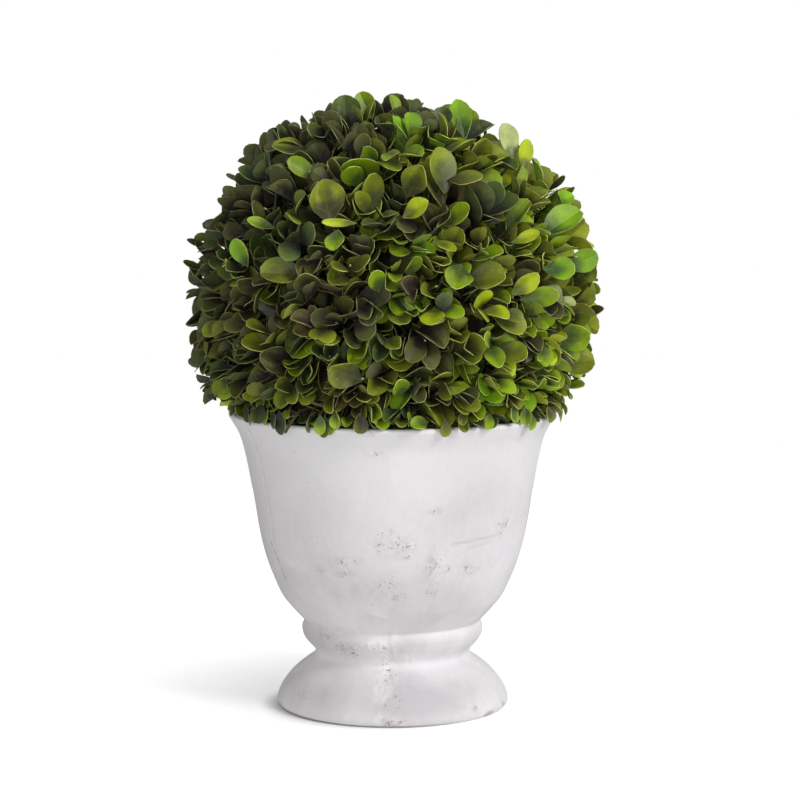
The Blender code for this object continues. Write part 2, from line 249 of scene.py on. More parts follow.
urn = {
    "turnSteps": 400,
    "spacing": 0.95 * mm,  # along the outside
    "insideSpacing": 8 * mm,
    "wall": 8.5 * mm,
    "floorHeight": 50 * mm,
    "floorRadius": 33 * mm,
    "fillingRadius": 62 * mm,  # of the inside, at the top of what fills it
    "lipThickness": 7 * mm,
    "lipRounding": 1.6 * mm,
    "waviness": 0.45 * mm,
    "dimples": 0.16 * mm,
    # radius and height in mm of the few points that each stretch of the outside passes
    "bowl": ((44, 43.2), (46.6, 45.6), (51.4, 51), (56.2, 57.6), (61.4, 69.6), (65.4, 82),
        (67.9, 94), (70.8, 112.5), (74.3, 130), (76.6, 138), (79.6, 143.6), (81.8, 147.3)),
    "foot": ((56.9, 0), (58, 1.4), (58.3, 3.6), (56.8, 8), (54, 12.5), (50.1, 17),
        (44.9, 21.4), (40.7, 24.4), (39, 26.8), (39.9, 29.4), (42.6, 32.4), (44.8, 35.4), (45.7, 38.9),
        (45.2, 41.4), (44, 43.2)),
    "seams": (0.0, 180.0),  # degrees round from the front, where the halves of the mould met
    "seamHeight": 0.5 * mm,
    "seamWidth": 1.3 * mm,
    "crease": -62.0,  # a faint crease down the left of the bowl
    "creaseDepth": 0.4 * mm,
    # patches of pinholes: degrees round from the front, height in mm, spread in degrees and in mm, strength
    "pinholePatches": (
        (-6, 137, 3, 1.6, 0.9), (-7, 147, 3, 1.2, 0.7), (16.5, 108, 2.2, 1.8, 0.9), (-3, 98, 3, 2.4, 0.8),
        (4, 91, 5, 3.2, 0.95), (-5, 91, 2.4, 3.4, 0.75), (-22, 82.5, 2.4, 3, 0.95), (-21, 76, 3, 2, 0.85),
        (-15, 83, 2, 1.5, 0.8), (-33, 77, 2.5, 2, 0.8), (6, 86, 2, 2, 0.8), (18, 80, 4, 4.5, 0.9),
        (24, 79, 2.5, 2.2, 0.95), (36, 77, 5, 2.4, 0.95), (52, 96, 5, 4, 0.75), (17, 67, 2.5, 2.2, 0.8),
        (3, 65, 3, 2.2, 0.85), (-4, 70, 6, 5, 0.6), (-30, 34, 8, 3.4, 0.9), (-46, 40, 5, 2, 0.85),
        (-7, 37, 9, 2, 0.75), (-4, 25, 5, 7, 0.85), (2, 13, 4, 4, 0.85), (-1, 3, 6, 2.4, 0.9),
        (45, 6, 1.4, 1.2, 1.2), (56, 2, 3, 1.2, 0.9), (-54, 11, 4, 3, 0.7), (53, 146, 2.5, 1.4, 1),
        (110, 84, 8, 8, 0.7), (150, 100, 7, 6, 0.75), (176, 60, 8, 9, 0.8), (-150, 90, 9, 8, 0.75),
        (-120, 70, 8, 8, 0.7), (-95, 30, 8, 4, 0.8), (128, 14, 9, 5, 0.75), (-160, 12, 8, 5, 0.75),
        (88, 98, 6, 5, 0.7), (180, 26, 6, 6, 0.85),
    ),
    # scratches: from and to, as degrees round from the front and height in mm, with depth and width in mm
    "scratches": (((25, 90.8), (50, 93.1), 0.22, 0.6), ((33, 88.0), (46, 90.5), 0.14, 0.6),
        ((-64, 86), (-62, 78), 0.6, 1.1), ((-61.5, 78), (-61, 70), 0.8, 1.2),
        ((-12, 55.5), (-4, 53.5), -0.4, 0.9), ((53, 0.6), (58, 1.2), 0.4, 1.3),
        ((71, 3.6), (75, 2.4), 0.3, 1.3), ((120, 88.0), (150, 92.0), 0.2, 0.6),
        ((-130, 108), (-112, 104), 0.25, 0.6)),
    # rough dabs of whitewash: degrees round and height in mm, spread in degrees and in mm
    "dabs": ((-4, 27, 6, 7), (-5, 16, 6, 5), (-9, 38, 8, 2.5), (-5, 5, 5, 3),
        (12, 30, 6, 4), (176, 22, 8, 8)),
    "dabHeight": 0.6 * mm,
    # waves, dimples and grit: how many to the metre, and a shift of the noise
    "relief": ((16, (0, 0, 0)), (75, (9, 0, 0)), (460, (0, 0, 0))),
    # the noises of the wash: grain in mm, detail, roughness, distortion
    "noises": {"patches": (50, 5, 0.62, 0.6), "streaks": (12, 5, 0.6, 0), "smudges": (4.2, 4, 0.65, 0.8),
        "pores": (1.4, 1.5, 0.5, 0.7), "grain": (1.6, 3, 0.6, 0), "plaster": (1.1, 2, 0.5, 0)},
    # darker patches, where the wash is thin, and painted shade on the foot, the collar and the lower bowl:
    # degrees round and height in mm, spread in degrees and in mm, strength
    "thinAndShadedPatches": ((34, 106, 24, 34, 0.55), (0, 66, 44, 12, 0.45), (30, 62, 26, 14, 0.5),
        (-75, 100, 24, 34, 0.35), (-58, 37, 36, 7, 0.75), (-50, 66, 30, 14, 0.3), (0, 38, 60, 4, 0.45),
        (-40, 13, 40, 10, 0.6), (10, 12, 36, 11, 0.95), (120, 90, 40, 30, 0.5), (-130, 80, 40, 30, 0.5),
        (180, 30, 60, 16, 0.6)),
}


def urnOutline():
    # the turned line: up the inside, over the lip, down the outside and across the underside
    bowl, foot = (smoothLine([(r * mm, 0, z * mm) for r, z in urn[name]], 6) for name in ("bowl", "foot"))
    down = [*reversed(bowl), *reversed(foot[:-1])]
    rounding = urn["lipRounding"]
    turns = [radians(90 - 15 * i) for i in range(6)]
    lip = [(rimRadius - rounding + rounding * cos(a), 0, rimHeight - rounding + rounding * sin(a))
           for a in turns]
    inside = [(r * mm - urn["wall"], 0, z * mm) for r, z in urn["bowl"] if 56 < z < 142]
    inner = [(0, 0, urn["floorHeight"]), (urn["floorRadius"], 0, urn["floorHeight"]), *inside]
    top = (rimRadius - urn["lipThickness"], 0, rimHeight)
    return [*evenly([*inner, (top[0], 0, top[2] - rounding)], urn["insideSpacing"]), top,
            *evenly([*lip, *down], urn["spacing"]), (30 * mm, 0, 0), (0, 0, 0)]


def turnedShape(outline, steps):
    # spins a line of points about Z and closes its ends on the axis
    shape = bmesh.new()
    points = [shape.verts.new(p) for p in outline]
    line = [shape.edges.new(pair) for pair in zip(points, points[1:])]
    bmesh.ops.spin(shape, geom=points + line, cent=(0, 0, 0), axis=(0, 0, 1), angle=tau, steps=steps,
                   use_merge=True)
    bmesh.ops.remove_doubles(shape, verts=shape.verts, dist=0.01 * mm)
    bmesh.ops.recalc_face_normals(shape, faces=shape.faces)
    return shape


def turnFrom(angles, degrees):
    # how far round each angle lies from a place given in degrees, the short way
    return (angles - radians(degrees) + pi) % tau - pi


def patchesOver(rows, angles, heights, breadth=1.0):
    # soft patches over the surface, the strongest of those that meet
    over = np.zeros(len(angles))
    for around, height, spreadAround, spreadUp, *strength in rows:
        away = turnFrom(angles, around) / radians(spreadAround)
        rise = (heights / mm - height) / spreadUp
        over = np.maximum(over, (strength or [1])[0] * np.exp(-(away**2 + rise**2) / breadth))
    return over


def scratchesOver(angles, heights, radii):
    # how deep the scratches are
    scratched = np.zeros(len(angles))
    for (fromAround, fromHeight), (toAround, toHeight), depth, broad in urn["scratches"]:
        width = radians(toAround - fromAround)
        along = np.clip(turnFrom(angles, fromAround) / width, 0, 1)
        away = (turnFrom(angles, fromAround) - along * width) * radii
        rise = heights - (fromHeight + (toHeight - fromHeight) * along) * mm
        scratched += depth * mm * np.exp(-(away**2 + rise**2) / (broad * mm) ** 2)
    return scratched


def whitewashedCement():
    # cast cement brushed with thin whitewash: chalky and matt, off-white with mauve-grey bare patches where
    # the wash is thin, pinholes in clusters and a fine sandy grain.
    # Painted shade darkens some patches on the foot, collar and lower bowl, the pinholes and cuts, and a line
    # where the foot meets the floor
    material, shader, add, place = newMaterial("whitewashedCement", roughness=0.88, ior=1.45)
    pinholed, dabbed, thinWashAndShaded, cut = (add("Attribute", attribute_name=name).outputs["Fac"]
        for name in ("pinholes", "dabs", "thinWashAndShade", "cuts"))
    across, _, height = add("SeparateXYZ", (place,)).outputs
    drawn = add("Mapping", {"Vector": place, "Scale": (1, 1, 0.35)})
    noises = {}
    for name, (size, detail, roughness, distortion) in urn["noises"].items():
        vector = drawn if name == "streaks" else place
        noises[name] = add("TexNoise", {"Vector": vector, "Scale": 1 / (size * mm), "Detail": detail,
            "Roughness": roughness, "Distortion": distortion})
    # a map range takes its value, then the range it is from and the range it becomes
    mottled = add("MapRange", (noises["patches"], 0.4, 0.72, 0.0, 0.42))
    worn = add("MapRange", (noises["streaks"], 0.5, 0.75, 0.0, 0.22))
    worn = add("Math", (mottled, worn), "ADD", use_clamp=True)
    # lighter towards the rim, and darker in a few patches that are partly thin wash and partly painted shade
    lessBareUp = add("MapRange", (height, 0.085, 0.135, 1.0, 0.2))
    bareAndShaded = add("Math", (worn, lessBareUp), "MULTIPLY")
    bareAndShaded = add("Math", (bareAndShaded, thinWashAndShaded), "ADD")
    bareAndShaded = add("Math", (dabbed, -0.45, bareAndShaded), "MULTIPLY_ADD")
    # round the pinholes the wash is rubbed through in small smudges
    rubbed = add("MapRange", (noises["smudges"], 0.44, 0.68, 0.0, 0.7))
    some = add("Math", (pinholed, 0.1), "ADD")
    bareAndShaded = add("Math", (rubbed, some, bareAndShaded), "MULTIPLY_ADD", use_clamp=True)
    wash = add("Mix", {"Factor": bareAndShaded, "A": linear("efedef"), "B": linear("cbc6c9")}, data_type="RGBA")
    # pinholes are the peaks of a fine noise, and a patch lifts more of them over the limit
    lifted = add("Math", (pinholed, 0.22, noises["pores"]), "MULTIPLY_ADD")
    pitsAndShadow = add("MapRange", (lifted, 0.755, 0.81, 0.0, 0.8))
    # painted contact shadow: a dark line on the left where the foot meets the floor
    low = add("MapRange", (height, 0.0005, 0.0012, 0.9, 0.0))
    leftward = add("MapRange", (across, 0.005, 0.035, 1.0, 0.0))
    paintedContactShadow = add("Math", (low, leftward), "MULTIPLY")
    pitsAndShadow = add("Math", (pitsAndShadow, paintedContactShadow), "MAXIMUM")
    holesAndShadow = add("Math", (pitsAndShadow, cut), "MAXIMUM")
    # the dark grey of the pinholes and cuts is bare cement with painted shade of their hollows on it
    holedAndShadowed = add("Mix", {"Factor": holesAndShadow, "A": wash, "B": linear("9a9495")}, data_type="RGBA")
    brushed = add("Math", (noises["grain"], noises["streaks"]), "ADD")
    # the dabs are as rough as plaster
    brushed = add("Math", (noises["plaster"], dabbed, brushed), "MULTIPLY_ADD")
    sunk = add("Math", (brushed, holesAndShadow), "SUBTRACT")
    bump = add("Bump", {"Height": sunk, "Strength": 0.45, "Distance": 0.3 * mm})
    feed(shader, {"Base Color": holedAndShadowed, "Normal": bump})
    return material


def makeUrn():
    piece = addPiece("cementUrn", turnedShape(urnOutline(), urn["turnSteps"]), [whitewashedCement()])
    mesh = piece.data
    places, normals = np.zeros(len(mesh.vertices) * 3), np.zeros(len(mesh.vertices) * 3)
    mesh.vertices.foreach_get("co", places)
    mesh.vertex_normals.foreach_get("vector", normals)
    places, normals = places.reshape(-1, 3), normals.reshape(-1, 3)
    radii, heights = np.hypot(places[:, 0], places[:, 1]), places[:, 2]
    angles = np.arctan2(places[:, 0], -places[:, 1])
    patches = patchesOver(urn["pinholePatches"], angles, heights, 1.6)
    # darker patches: thin wash, and painted shade on the foot, the collar and the lower bowl
    dabs, thinWashAndShade = (patchesOver(urn[name], angles, heights) for name in ("dabs", "thinAndShadedPatches"))
    scratched = scratchesOver(angles, heights, radii)
    waves, dimples, grit = (np.array([noise.noise(Vector(p) * often + Vector(shift)) for p in places])
        for often, shift in urn["relief"])
    dabs = np.clip(dabs * (1 + 2 * dimples), 0, 1)
    lift = waves * urn["waviness"] + dimples * urn["dimples"] - scratched
    lift += dabs * (0.3 + grit) * urn["dabHeight"]
    # the mould's seams are rough on the foot and were rubbed down on the bowl
    rough = np.interp(heights, [38 * mm, 52 * mm], [1.0, 0.25]) * np.clip(0.45 + 2.4 * dimples, 0, 1.4)
    for around in urn["seams"]:
        away = turnFrom(angles, around) * radii + (waves + 1.4 * dimples) * 1.6 * mm
        lift += urn["seamHeight"] * rough * np.exp(-(away / urn["seamWidth"]) ** 2)
    away = turnFrom(angles, urn["crease"]) * radii + waves * 3 * mm
    fold = np.exp(-(away / (1.2 * mm)) ** 2) * np.clip((heights - 58 * mm) / (20 * mm), 0, 1)
    lift -= fold * urn["creaseDepth"]
    outside = ((normals * places)[:, :2].sum(axis=1) > 0) & (heights > 0.5 * mm)
    places += normals * np.where(outside, lift, 0)[:, None]
    places[:, 2] = np.clip(places[:, 2], 0, rimHeight)
    mesh.vertices.foreach_set("co", places.ravel())
    # the crease raises this mask too, so more pinholes and smudges darken it
    patches = np.clip(patches + fold * 0.3, 0, 1.2)
    cuts = np.clip(scratched / (0.7 * mm), 0, 0.6)
    for name, values in (("pinholes", patches), ("dabs", dabs), ("thinWashAndShade", thinWashAndShade), ("cuts", cuts)):
        mesh.attributes.new(name, "FLOAT", "POINT").data.foreach_set("value", values.astype(np.float32))
    mesh.update()
    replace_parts(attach(piece, "root"), "urn")


makeUrn()
print("urn ready")


# What fills the urn, and the stem

filling = {"rings": 34, "steps": 96, "lumps": 2.2 * mm, "deep": "1d150e", "dry": "4a3826"}


def dryPeat():
    # crumbled peat and moss gone dry: dull brown crumbs with paler fibres
    material, shader, add, place, _ = mottledMaterial("dryPeat", 0.95, 9 * mm, 6, filling["deep"],
        filling["dry"])
    crumbs = add("TexVoronoi", {"Vector": place, "Scale": 1 / 0.004})
    bump = add("Bump", {"Height": crumbs, "Strength": 0.8, "Distance": 1.2 * mm})
    feed(shader, {"Normal": bump})
    return material


def makeFilling():
    low, wide, rings = fillingBox[0].z, fillingBox[1].x, filling["rings"]
    lumps = filling["lumps"]
    ring = [(wide * i / rings, 0, fillingTop - lumps / 2) for i in range(rings + 1)]
    outline = [*ring, (wide - 6 * mm, 0, 75 * mm), (urn["floorRadius"] - touchGap, 0, low), (0, 0, low)]
    shape = turnedShape(outline, filling["steps"])
    for vertex in shape.verts:
        inward = max(0.0, min(1.0, (wide - vertex.co.xy.length) / (4 * mm)))
        if vertex.co.z > fillingTop - lumps and vertex.co.xy.length < wide - 0.5 * mm:
            crumble = noise.noise(vertex.co * 140) + 0.6 * noise.noise(vertex.co * 420)
            vertex.co.z += max(-lumps, min(lumps / 2, crumble * lumps)) * inward
        elif vertex.co.xy.length > wide - 0.5 * mm:
            vertex.co.z -= 1 * mm
    piece = addPiece("peatFilling", shape, [dryPeat()], smoothAngle=60)
    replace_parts(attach(piece, "root"), "pot_filling")


stem = {
    "sides": 40,
    "rings": 30,
    "ridges": 9,
    "ridgeHeight": 0.5 * mm,
    # share of the height, share of the lean, radius in mm
    "shape": ((0.0, 0.0, 10.4), (0.12, 0.0, 8.3), (0.35, 0.3, 6.3), (0.7, 0.9, 5.6), (1.0, 1.0, 5.3)),
    "lean": 1.2 * mm,
}


def boxwoodBark(name, deep, pale):
    # corky boxwood bark: yellow-grey plates with darker furrows that run along the limb
    material, shader, add, _, plates = mottledMaterial(name, 0.85, 2.2 * mm, 5, deep, pale, 0.3)
    bump = add("Bump", {"Height": plates, "Strength": 0.6, "Distance": 0.4 * mm})
    feed(shader, {"Normal": bump})
    return material


def makeStem():
    # rings drawn up from a flat cut foot, ridged like old bark, closed by a flat top
    foot = stemBox[0].z
    shape = bmesh.new()
    ring = bmesh.ops.create_circle(shape, cap_ends=True, segments=stem["sides"], radius=1.0)["verts"]
    rings = [ring]
    face = shape.faces[:][0]
    for _ in range(stem["rings"]):
        made = bmesh.ops.extrude_discrete_faces(shape, faces=[face])["faces"]
        face = made[0]
        rings.append(list(face.verts))
    share, lean, radius = zip(*stem["shape"])
    for i, ring in enumerate(rings):
        height = i / stem["rings"]
        size = np.interp(height, share, radius) * mm - stem["ridgeHeight"]
        across = np.interp(height, share, lean) * stem["lean"]
        for j, vertex in enumerate(ring):
            angle = tau * j / len(ring)
            way = Vector((cos(angle), sin(angle), 0))
            rough = noise.noise(Vector((way.x * 3, way.y * 3, height * 4)))
            ridge = abs(sin(angle * stem["ridges"] / 2 + rough * 2)) + rough
            place = way * (size + stem["ridgeHeight"] * max(0, min(1, ridge)))
            vertex.co = place + Vector((across, 0, foot + (stemTop - foot) * height))
    bmesh.ops.recalc_face_normals(shape, faces=shape.faces)
    piece = addPiece("barkStem", shape, [boxwoodBark("boxwoodBark", "4b3c28", "9c8a66")], smoothAngle=50)
    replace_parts(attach(piece, "root"), "stem")


makeFilling()
makeStem()
print("filling and stem ready")


# The crown: the source's rule again, carried to finer twigs

crown = {
    "centre": Vector((0, 0, 204 * mm)),
    "reach": 103.0 * mm,
    "reachWobble": 1.6 * mm,
    # where the ball bulges: degrees round from the front and up, height in mm
    "bulges": ((-90, -26, 4.2), (90, -20, 2.0), (90, 27, 4.4), (90, 47, -4.4), (-90, 50, 3.6), (80, 66, 1.4)),
    "bulgeWidth": radians(20),
    "coreRadius": 62 * mm,
    "coreLumps": 3,  # mm
    "mainSprigs": 86,
    "lowest": radians(133),
    "mainShift": radians(6),
    "mainSeed": 11,
    "forkRadius": 56 * mm,
    "forks": 9,  # round each main sprig's own line
    "forkSpread": radians(11.5),
    "tipShort": (0.3, 1.3),  # how far a spray's tip stays inside the reach, as a share of its leaves' length
    "sprayTilt": radians(42),
    "openness": (0.5, 1.4),  # how wide a spray's leaves spread, as a share of the angles below
    "opensUp": ((-0.6, 0.1, 0.6), (0.66, 0.8, 1.15)),  # wider towards the top of the ball
    "missing": 0.1,  # the share of leaves that a spray has lost
    "budded": 0.14,
    "leafLength": 20.5 * mm,
    "lengthPatches": 0.30,
    "skyward": 0.3,  # how far the leaves turn their upper sides to the sky
    "tries": 7,
    # rows of sprays that lie out over the rim: degrees down from the top, distance of the tip in mm, count
    "skirts": ((112, 91, 34), (118, 90, 38), (125, 79, 34)),
    # single leaves over the rim: count, then the range of root radius, root height, droop in degrees, length
    "fringes": (
        (120, (70, 76), (150.6, 152.6), (0, 20), (10, 14)),
        (100, (81.4, 84), (150.5, 156), (50, 85), (9, 13.5)),
        (190, (77, 83), (151.0, 156), (30, 80), (9, 15)),
        (140, (66, 75), (152.5, 159), (0, 34), (12, 19)),
    ),
    "overhang": 5 * mm,  # how far the leaves hang down outside the rim
    "stubRoom": 4.5 * mm,  # kept free round the cut twig's end
    "featureReach": 104 * mm,
    "strayReach": 107 * mm,
    "strayLean": 55,
    "featureRadius": 94 * mm,
    "edgeRadius": 9 * mm,
    "cell": 20 * mm,  # of the space that leaves are sorted into
    "mostTriangles": 190000,  # in one piece
    "seed": 31,
    "singleSeed": 5,
}

# pairs of leaves down a spray: distance back from its tip in mm, spread from its line, share of the size
leafPairs = (
    (1, 17, 0.74),
    (4, 26, 0.94),
    (8, 34, 1),
    (12.5, 43, 1),
    (17.5, 53, 0.95),
    (23, 63, 0.86),
)

leafLook = {
    "cellsAlong": 6,
    "cellsAcross": 4,
    "thickness": 0.3 * mm,
    "margin": 0.2 * mm,  # the paler rim that shows from above
    "ior": 1.4,
    "marginRoughness": 0.55,
    # roughness, strength of the veins, and how long the dark base, brown with painted shade, fades
    "Upper": (0.44, 0.08, 1.0),
    "Underside": (0.65, 0.16, 0.7),
    "fadeStart": 0.72,
    # how far a leaf may differ from the next, and the notches that some tips have
    "bends": {"slimness": (0.56, 0.78), "cup": (-0.1, 0.85), "curl": (-0.7, 0.6), "twist": (-0.45, 0.45),
        "wave": (-0.03, 0.03)},
    "notches": (0, 0, 0.02, 0.035),
    # share of an ellipse's width, from the base to the tip
    "alongSteps": (0.0, 0.15, 0.35, 0.60, 0.85, 1.0),
    "widthSteps": (0.34, 0.58, 0.88, 1.04, 1.09, 1.04),
}

# colours of the leaves, dealt out by spray: upper side, underside, margin, partly a painted highlight, share
# of sprays, pull to the right, a painted light and shade, and the share of a leaf's length over which its
# dark base, brown with painted shade, fades
leafTones = {
    "deepOlive": ("616826", "666b40", "9fa568", 23, -2.1, 1.2),
    "deepGreen": ("566c22", "606e3d", "95a565", 20, -1.7, 1.14),
    "oliveGreen": ("87961a", "889038", "c0c866", 28, 0.2, 1.02),
    "leafGreen": ("8dad13", "8ea232", "c9d66c", 18, 1.2, 0.8),
    "freshGreen": ("82ae1e", "8da73c", "c9dc78", 4, 2.2, 0.55),
    "yellowGreen": ("b0c21a", "aeb83c", "d6de7a", 4, 1.7, 0.58),
    "brownOlive": ("6e6830", "706a3c", "a8a364", 1.0, 0.2, 1.05),
    "paleGreen": ("c6d68a", "ccd898", "e2eab4", 0.2, 1.2, 0.4),
}

# leaves that stand out: degrees round from the front and up, where the tip points as on a clock face in
# degrees, lean outward in degrees, length in mm, width as a share of it, tone
featureLeaves = (
    (-23, 33.6, -10, 16, 22, 0.78, "oliveGreen"),
    (-17.1, 26.5, -92, 4, 17, 0.24, "yellowGreen"),
    (8.7, 41, 28, 28, 19, 0.68, "oliveGreen"),
    (8.2, 30.8, 64, 12, 15, 0.62, "yellowGreen"),
    (5.5, 14.7, 4, 34, 14, 0.66, "leafGreen"),
    (-4.8, 10.2, -18, 34, 15, 0.6, "leafGreen"),
    (11.9, -1.3, 190, 34, 14, 0.84, "yellowGreen"),
    (18.9, 10, 204, 20, 17, 0.82, "leafGreen"),
    (28.5, 9.5, 100, 22, 20, 0.78, "oliveGreen"),
    (15.9, 18.9, 142, 30, 16, 0.4, "yellowGreen"),
    (-17.2, 21, 184, 8, 12, 0.8, "leafGreen"),
    (61, 67, -8, 14, 20, 0.56, "freshGreen"),
    (67, 52.4, -14, 10, 19, 0.6, "paleGreen"),
    (69, 46.6, 12, 10, 17, 0.46, "yellowGreen"),
    (70, 24, 70, 8, 26, 0.6, "freshGreen"),
    (45.6, 20.8, 82, 20, 15, 0.42, "yellowGreen"),
    (57.9, 11.1, 96, 16, 16, 0.72, "freshGreen"),
    (76, 12.5, 70, 14, 18, 0.66, "freshGreen"),
    (41.8, 8.1, 46, 20, 17, 0.56, "yellowGreen"),
    (47.5, 3.8, 84, 16, 19, 0.52, "leafGreen"),
    (-51.7, 16.4, -24, 16, 15, 0.62, "freshGreen"),
    (-57.5, 12.6, 100, 24, 9, 0.5, "yellowGreen"),
    (-46.3, 25.1, -84, 18, 14, 0.44, "leafGreen"),
    (-38, 43.6, -70, 18, 18, 0.5, "leafGreen"),
    (-33.5, 11, -96, 12, 23, 0.62, "oliveGreen"),
    (-50, 80, -30, 20, 15, 0.7, "leafGreen"),
    (-60, 74, -12, 20, 18, 0.8, "deepGreen"),
    (37.1, -12.1, 112, 30, 18, 0.72, "oliveGreen"),
    (74.5, -17.5, 88, 8, 21, 0.72, "oliveGreen"),
    (66.5, -9, 78, 24, 19, 0.7, "leafGreen"),
    (-14.5, -16.8, -62, 16, 20, 0.74, "oliveGreen"),
    (2.1, -20.9, -10, 34, 14, 0.66, "leafGreen"),
)

# slim tips past the ball's edge: degrees round and up, clock turn, length in mm, width as a share
strayTips = (
    (-85.6, 9.5, -90, 15, 0.3),
    (-86, 16.5, -78, 13, 0.26),
    (87.7, 35.7, 52, 13, 0.28),
    (86, 31.5, 58, 13, 0.26),
    (85.2, -3.8, 88, 15, 0.44),
)

# the cut end of a twig that sticks out over the rim, in mm
cutStub = ((-28.0, -52.0, 158.0), (-44.0, -70.0, 156.5), (-47.2, -74.0, 152.5), (-50.5, -76.5, 147.0))


def mainDirections():
    # even directions by the golden angle, each a little off its place, as the source has them
    rng = random.Random(crown["mainSeed"])
    golden = pi * (3 - sqrt(5))
    lowest = cos(crown["lowest"])
    ways = []
    for i in range(crown["mainSprigs"]):
        up = 1 - (1 - lowest) * (i + 0.5) / crown["mainSprigs"]
        around = i * golden + rng.uniform(-crown["mainShift"], crown["mainShift"])
        flat = sqrt(1 - up * up)
        ways.append(Vector((flat * cos(around), flat * sin(around), up)))
    return ways


def leafBlank():
    # a flat leaf as a closed shell: a grid drawn in to an oval, with an upper side, an underside and a rim
    shape = bmesh.new()
    cells = {"x_segments": leafLook["cellsAlong"], "y_segments": leafLook["cellsAcross"]}
    bmesh.ops.create_grid(shape, size=1, **cells)
    bmesh.ops.solidify(shape, geom=shape.faces[:], thickness=1.0)
    bmesh.ops.recalc_face_normals(shape, faces=shape.faces)
    top = max(vertex.co.z for vertex in shape.verts)
    # the underside, which is seldom seen, keeps only its rim and its midrib
    rows = [edge for edge in shape.edges
            if all(v.co.z < top - 0.5 and abs(abs(v.co.y) - 0.5) < 0.01 for v in edge.verts)
            and edge.verts[0].co.y * edge.verts[1].co.y > 0]
    bmesh.ops.dissolve_edges(shape, edges=rows, use_verts=True)
    shape.verts.index_update()
    places = np.array([tuple(vertex.co) for vertex in shape.verts])
    under = (top - places[:, 2]) / np.ptp(places[:, 2])
    faces = [[vertex.index for vertex in face.verts] for face in shape.faces]
    shape.free()
    u, v = places[:, 0], places[:, 1]
    alongWay, acrossWay = u * np.sqrt(1 - v * v / 2), v * np.sqrt(1 - u * u / 2)
    along = (alongWay + 1) / 2
    below = np.array([under[face].mean() for face in faces])
    return {
        "along": along,
        "across": acrossWay * np.interp(along, leafLook["alongSteps"], leafLook["widthSteps"]),
        "alongWay": alongWay,
        "acrossWay": acrossWay,
        "rim": ((np.maximum(np.abs(u), np.abs(v)) > 0.999) & (under < 0.5)).astype(float),
        "tip": (alongWay > 0.999).astype(float),
        "under": under,
        "faces": faces,
        "side": np.where(below < 0.01, 0, np.where(below > 0.99, 1, 2)),
    }


blank = leafBlank()
blankTriangles = sum(len(face) - 2 for face in blank["faces"])


def leafPlaces(leaf):
    # bends the flat leaf: cupped across, twisted and curled along, then set in its place
    length, width, along, across = leaf["length"], leaf["width"], blank["along"], blank["across"]
    inset = leafLook["margin"] * blank["rim"]
    sideways = across * (width / 2) - inset * blank["acrossWay"]
    forward = along * length - inset * blank["alongWay"]
    forward = forward - leaf["notch"] * length * blank["tip"]
    lift = leaf["cup"] * (width / 2) * np.abs(across) ** 1.3
    ripple = np.sin(along * 5 + leaf["phase"]) * across
    lift = lift + leaf["wave"] * width * ripple - leafLook["thickness"] * blank["under"]
    level, tilted = np.cos(leaf["twist"] * along), np.sin(leaf["twist"] * along)
    sideways, lift = sideways * level - lift * tilted, sideways * tilted + lift * level
    curl = leaf["curl"] if abs(leaf["curl"]) > 0.01 else 0.01
    bend = curl * forward / length
    onward = length * np.sin(bend) / curl + lift * np.sin(bend)
    upward = -length * (1 - np.cos(bend)) / curl + lift * np.cos(bend)
    return np.stack([onward, sideways, upward], axis=1) @ leaf["turn"].T + leaf["root"]


def onBall(around, rise):
    # the direction at so many degrees round from the front and up
    around, rise = radians(around), radians(rise)
    return Vector((sin(around) * cos(rise), -cos(around) * cos(rise), sin(rise)))


bulges = [(onBall(around, rise), height * mm) for around, rise, height in crown["bulges"]]


def reachToward(way):
    # how far the leaves come out in a direction: a ball with a few soft bulges and a slight wobble
    reach = crown["reach"] + crown["reachWobble"] * noise.noise(way * 4)
    for toward, height in bulges:
        reach += height * exp(-(way.angle(toward) / crown["bulgeWidth"]) ** 2)
    return reach


def fromCentre(places):
    # the lines to the places from the ball's centre, and their lengths
    lines = places - np.array(crown["centre"])
    return lines, np.linalg.norm(lines, axis=-1)


def hasRoom(places):
    # True if the leaf stays in the ball, and clear of the urn's rim and what fills it
    lines, out = fromCentre(places)
    furthest = out.argmax()
    if out[furthest] > reachToward(Vector(lines[furthest]).normalized()):
        return False
    x, y, z = places.T
    radii = np.hypot(x, y)
    low = z < rimHeight + 2 * touchGap
    wall = np.interp(z, [fillingTop, rimHeight], [urn["fillingRadius"], rimRadius - urn["lipThickness"]])
    inWall = low & (radii > wall - 1 * mm) & (radii < rimRadius + 0.8 * mm)
    # the rim shows at the far left, where nothing hangs over it
    leftward = np.clip((-x / radii - 0.8) / 0.15, 0, 1)
    hung = (radii > rimRadius) & (z < rimHeight - crown["overhang"] * (1 - 1.3 * leftward))
    return not (inWall | hung | (z < fillingTop + 2 * mm)).any()


class Crowd:
    # leaves already placed, by cells of the space, to test that a new one cuts through none of them
    def __init__(self):
        self.cells = {}
        self.upper = [face for face, side in zip(blank["faces"], blank["side"]) if side == 0]

    def treeAndCell(self, places):
        cell = tuple(int(c // crown["cell"]) for c in places.mean(axis=0))
        return BVHTree.FromPolygons(places.tolist(), self.upper), cell

    def crossed(self, places):
        tree, cell = self.treeAndCell(places)
        near = product(*((c - 1, c, c + 1) for c in cell))
        return any(tree.overlap(other) for key in near for other in self.cells.get(key, ()))

    def add(self, places):
        tree, cell = self.treeAndCell(places)
        self.cells.setdefault(cell, []).append(tree)


